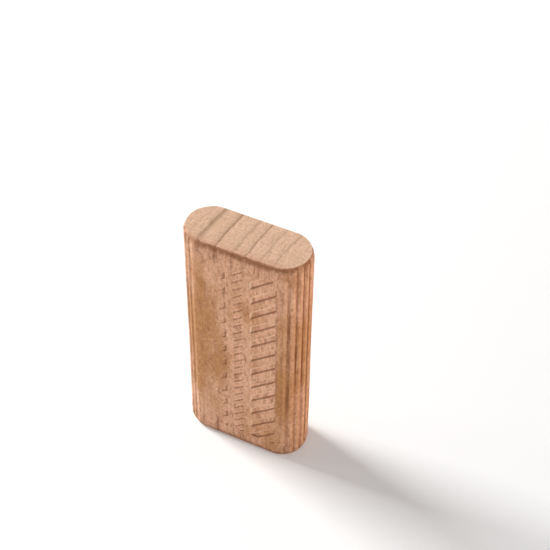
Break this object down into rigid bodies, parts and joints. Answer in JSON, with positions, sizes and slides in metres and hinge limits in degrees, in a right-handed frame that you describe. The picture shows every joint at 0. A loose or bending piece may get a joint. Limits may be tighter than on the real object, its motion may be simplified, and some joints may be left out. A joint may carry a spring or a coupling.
{
  "type": "loose tenon",
  "caption": "Flat beech loose tenon with round reeded edges, bevelled ends and slanted glue pockets pressed into both cheeks.",
  "frame": {"origin": "centre of the lower end face", "axes": "+Z along the grain, X across the flat cheeks, Y through the thickness"},
  "size_m": [0.024, 0.01, 0.05],
  "materials": {
    "beech": "planed and pressed beech, unfinished"
  },
  "bodies": {
    "root": {"tenon": "beech"}
  },
  "joints": []
}
